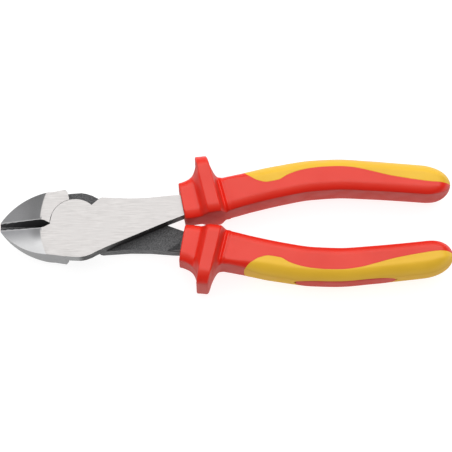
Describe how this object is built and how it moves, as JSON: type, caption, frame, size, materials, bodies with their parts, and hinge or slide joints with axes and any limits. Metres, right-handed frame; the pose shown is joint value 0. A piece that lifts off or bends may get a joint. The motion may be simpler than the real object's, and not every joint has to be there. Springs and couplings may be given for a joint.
{
  "type": "diagonal cutting pliers",
  "caption": "Insulated high-leverage diagonal cutters: two lapped steel levers on a rivet, with red and yellow guarded grips.",
  "frame": {"origin": "point where the pivot axis meets the ground front face of the joint", "axes": "+X along the handles away from the jaws, +Y towards the handle of the front lever, +Z out of the front face along the pivot axis"},
  "size_m": [0.1995, 0.0598, 0.0236],
  "materials": {
    "ground_steel": "ground faces, black oxide on the forged walls",
    "rivet_steel": "turned and ground flush",
    "sleeve_plastic": "moulded, hidden inside the grip",
    "red_plastic": "satin moulded",
    "yellow_elastomer": "satin, fine grain",
    "pad_plastic": "satin moulded"
  },
  "bodies": {
    "back_half": {"back_lever": "ground_steel", "lower_sleeve": "sleeve_plastic", "lower_grip": "red_plastic", "lower_soft_zone": "yellow_elastomer", "lower_pad": "pad_plastic"},
    "front_half": {"front_lever": "ground_steel", "pivot_rivet": "rivet_steel", "upper_sleeve": "sleeve_plastic", "upper_grip": "red_plastic", "upper_soft_zone": "yellow_elastomer", "upper_pad": "pad_plastic"}
  },
  "joints": [
    {"name": "pivot", "type": "hinge", "parent": "back_half", "child": "front_half", "pos_m": [0, 0, -0.006], "axis": [0, 0, 1], "range_deg": [0, 45]}
  ]
}
